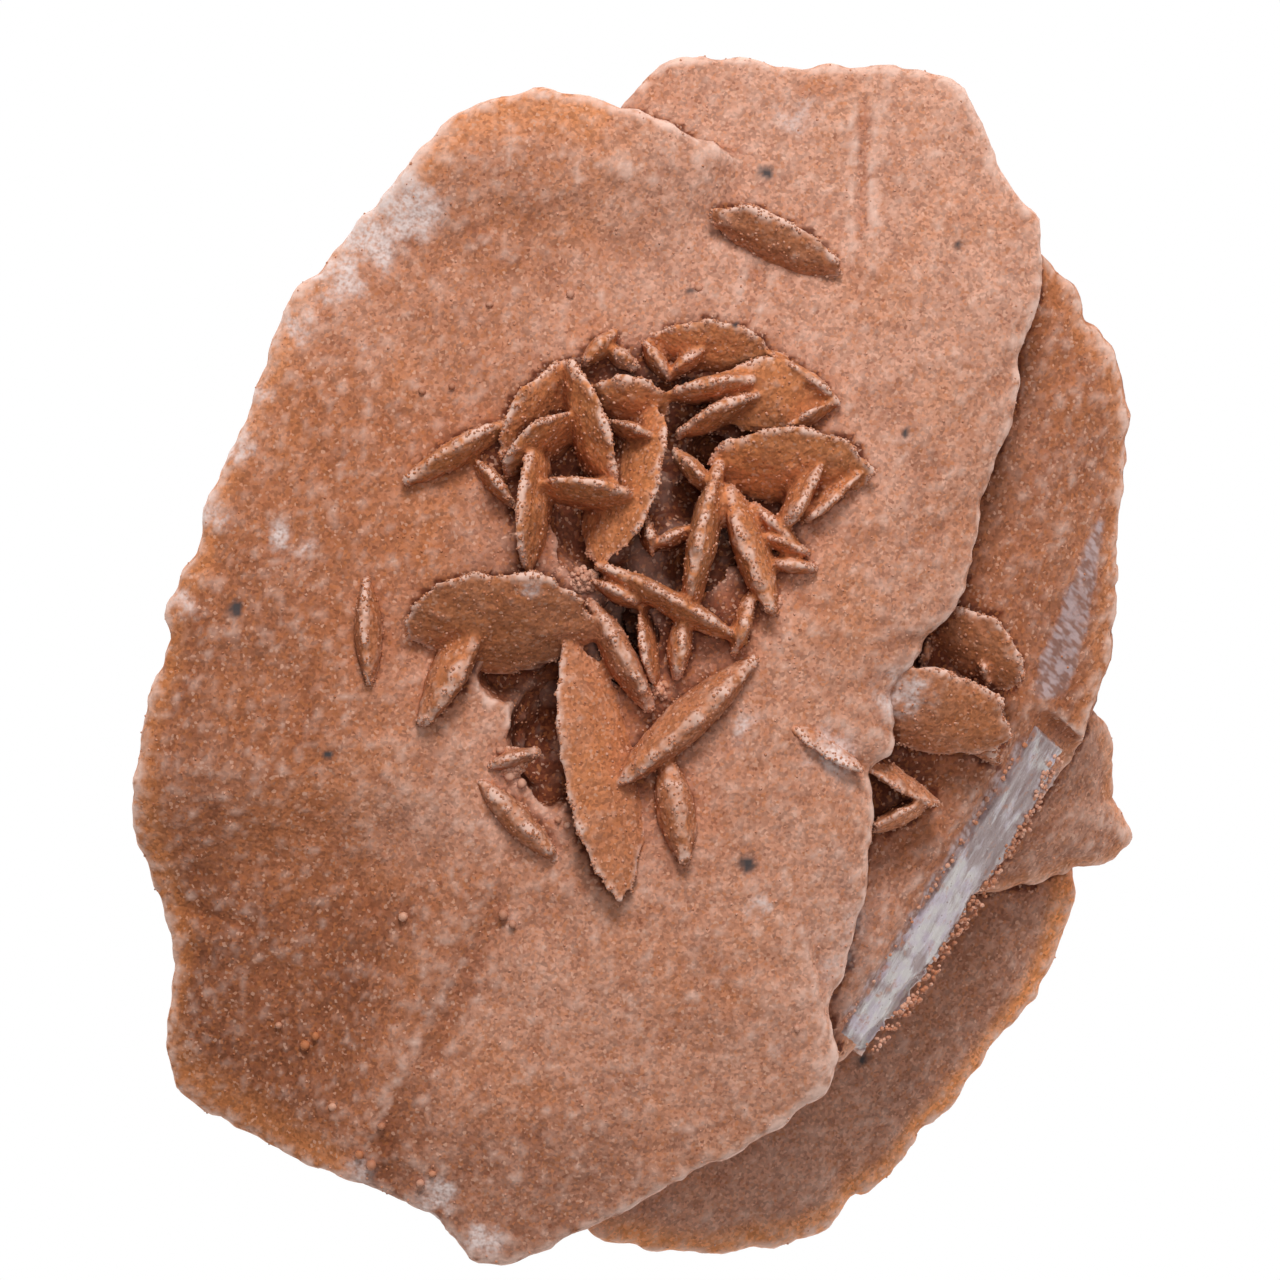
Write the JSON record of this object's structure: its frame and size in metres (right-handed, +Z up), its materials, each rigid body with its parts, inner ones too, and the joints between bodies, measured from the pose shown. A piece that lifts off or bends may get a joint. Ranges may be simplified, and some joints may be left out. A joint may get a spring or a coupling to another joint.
{
  "type": "gypsum sand rose",
  "caption": "Intergrown cluster of lens-shaped sandy gypsum plates, lying with its broad plates face up and a rosette of small upright blades in their shallow valley.",
  "frame": {"origin": "on the surface that the rose lies on, below the middle of its box", "axes": "+Z up, out of the broad plates' faces; +Y along the longer way of the broad plates, towards the end where the left plate overhangs the right one; +X towards the lower shelf plate and its side group of blades"},
  "size_m": [0.0756, 0.0914, 0.0417],
  "materials": {
    "sand_crust": "dull sandy gypsum, orange-brown, with paler worn rims",
    "selenite": "pearly cleaved gypsum, glossy, grey-mauve"
  },
  "bodies": {
    "root": {"gypsum_sand_rose": "sand_crust"}
  },
  "joints": []
}
